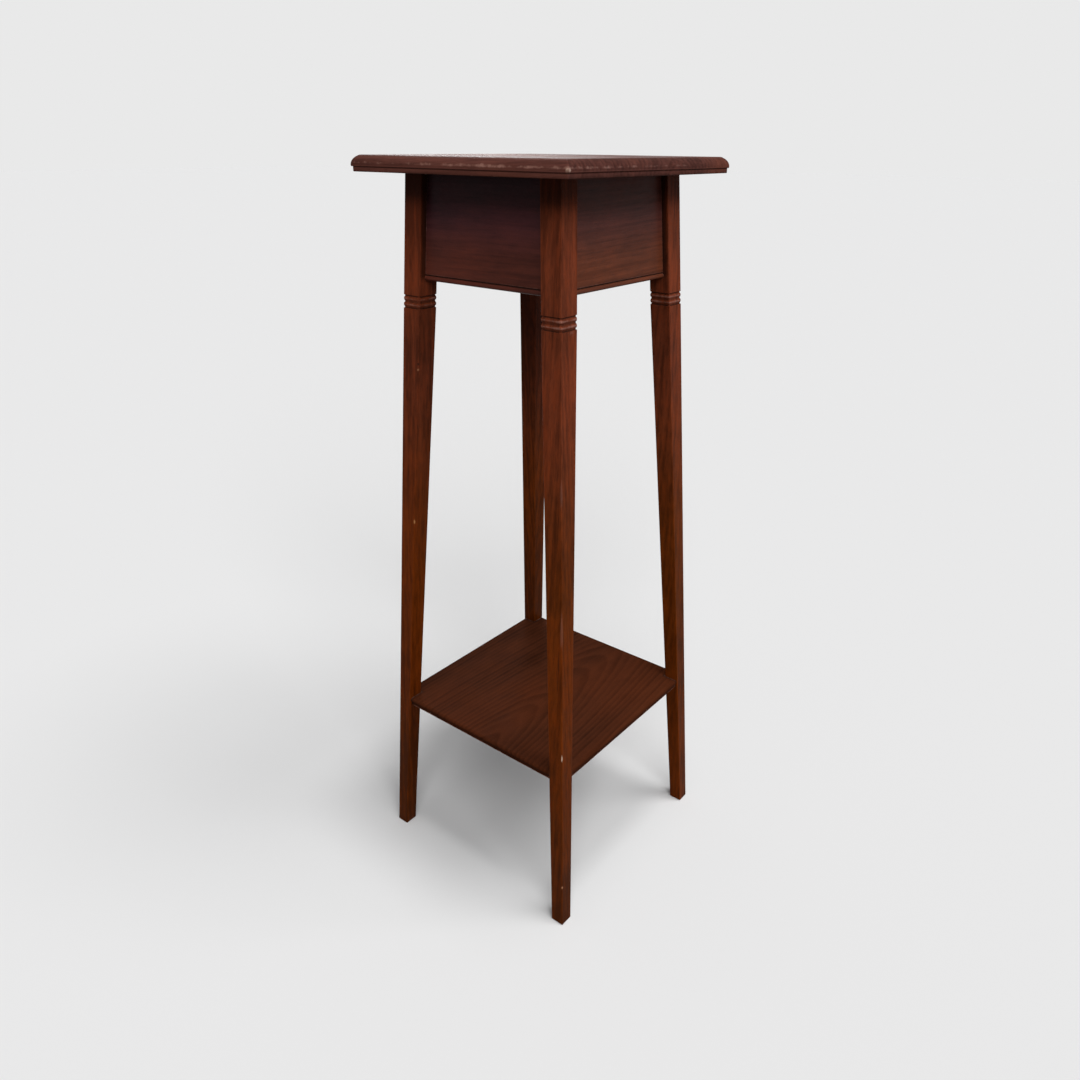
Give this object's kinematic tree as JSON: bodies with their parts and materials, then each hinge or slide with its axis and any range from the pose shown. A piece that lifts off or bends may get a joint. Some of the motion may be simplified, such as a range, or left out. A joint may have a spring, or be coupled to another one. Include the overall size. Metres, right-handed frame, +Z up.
{
  "type": "plant stand",
  "caption": "Square wooden plant stand: moulded top on a beaded apron frame, splayed tapered legs with a ringed collar, and a low shelf.",
  "frame": {"origin": "middle of the footprint, on the floor", "axes": "+Z up; -Y to the front, +X to the right; the camera of the picture stands between them"},
  "size_m": [0.304, 0.304, 0.9],
  "materials": {
    "top_wood": "worn satin varnish on mahogany",
    "apron_wood": "satin varnish on mahogany, grain lengthwise",
    "leg_wood": "satin varnish on mahogany, grain upright",
    "shelf_wood": "satin varnish on figured mahogany",
    "block_wood": "bare sawn pine",
    "dowel_wood": "bare beech",
    "screw_steel": "dull steel"
  },
  "bodies": {
    "root": {"top_board": "top_wood", "apron_front": "apron_wood", "apron_back": "apron_wood", "apron_left": "apron_wood", "apron_right": "apron_wood", "leg_front_left": "leg_wood", "leg_front_right": "leg_wood", "leg_back_left": "leg_wood", "leg_back_right": "leg_wood", "shelf": "shelf_wood", "corner_block_front_left": "block_wood", "corner_block_front_right": "block_wood", "corner_block_back_left": "block_wood", "corner_block_back_right": "block_wood", "rub_block_front": "block_wood", "rub_block_back": "block_wood", "rub_block_left": "block_wood", "rub_block_right": "block_wood", "apron_dowels": "dowel_wood", "shelf_dowels": "dowel_wood", "top_screws": "screw_steel"}
  },
  "joints": []
}
